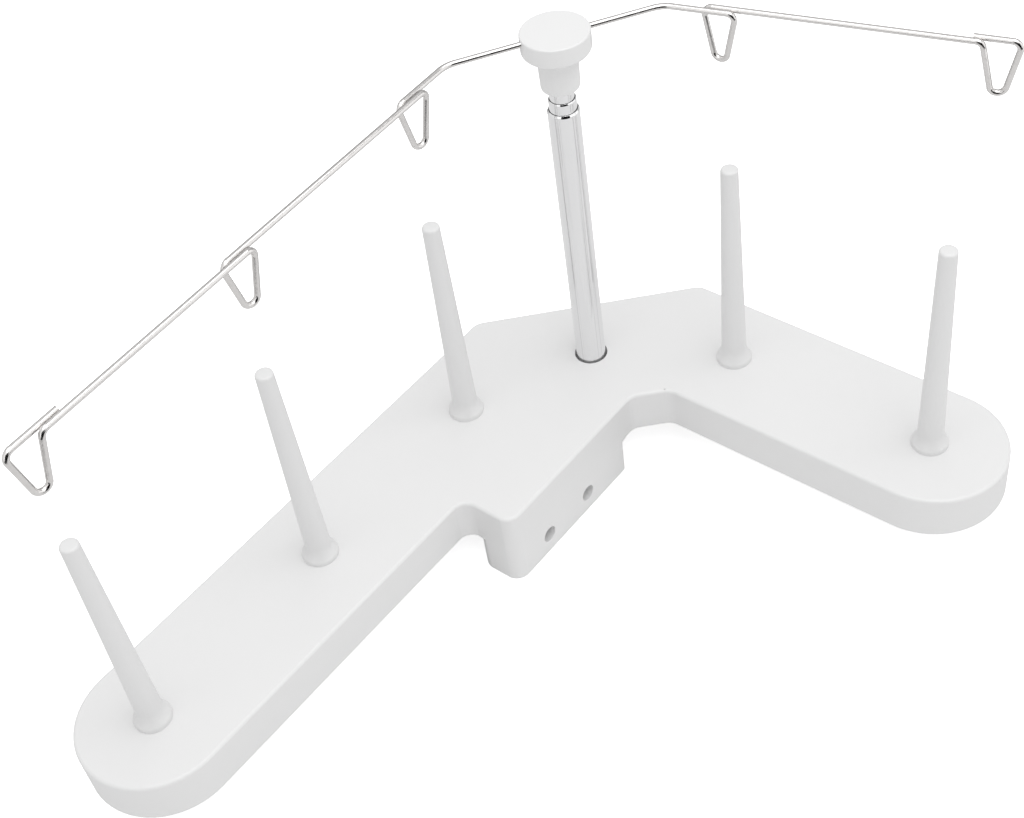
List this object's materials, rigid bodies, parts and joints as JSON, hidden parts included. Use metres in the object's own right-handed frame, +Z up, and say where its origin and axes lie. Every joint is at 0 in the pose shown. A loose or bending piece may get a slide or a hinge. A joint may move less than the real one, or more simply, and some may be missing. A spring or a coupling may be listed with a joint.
{
  "type": "thread rack",
  "caption": "V-shaped spool stand for an embroidery machine: upright spool pins, telescopic mast and a bent wire thread guide with a loop over each pin.",
  "frame": {"origin": "middle of the two screw holes, on the front face of the mounting block", "axes": "+X along the long arm towards the mast, +Y from the block's face back into the board, +Z up along the mast"},
  "size_m": [0.2848, 0.1923, 0.1673],
  "materials": {
    "board": "satin moulded plastic, off-white",
    "pins": "satin moulded plastic, off-white",
    "holder": "satin moulded plastic, white",
    "tubes": "bright chrome plate",
    "wire": "bright nickel-plated spring wire",
    "collars": "turned",
    "plug": "turned",
    "fasteners": "zinc plated",
    "feet": "matt black rubber"
  },
  "bodies": {
    "base": {"base": "board", "spool_pin_1": "pins", "spool_pin_2": "pins", "spool_pin_3": "pins", "spool_pin_4": "pins", "spool_pin_5": "pins", "pin_screws": "fasteners", "mast_outer_tube": "tubes", "mast_foot_plug": "plug", "mast_screw": "fasteners", "mast_washer": "fasteners", "rubber_foot_1": "feet", "rubber_foot_2": "feet", "rubber_foot_3": "feet", "rubber_foot_4": "feet", "foot_washers": "fasteners", "foot_screws": "fasteners"},
    "middle_section": {"mast_middle_tube": "tubes", "middle_tube_collar": "collars", "middle_friction_ring": "collars"},
    "top_section": {"mast_inner_tube": "tubes", "inner_tube_collar": "collars", "inner_friction_ring": "collars"},
    "guide": {"guide_holder": "holder", "thread_guide_wire": "wire"}
  },
  "joints": [
    {"name": "middle_section_slide", "type": "slide", "parent": "base", "child": "middle_section", "axis": [0, 0, 1], "range_m": [0, 0.097]},
    {"name": "top_section_slide", "type": "slide", "parent": "middle_section", "child": "top_section", "axis": [0, 0, 1], "range_m": [0, 0.0855]},
    {"name": "guide_turn", "type": "hinge", "parent": "top_section", "child": "guide", "pos_m": [0.05, 0.025, 0.1435], "axis": [0, 0, 1], "continuous": true}
  ]
}
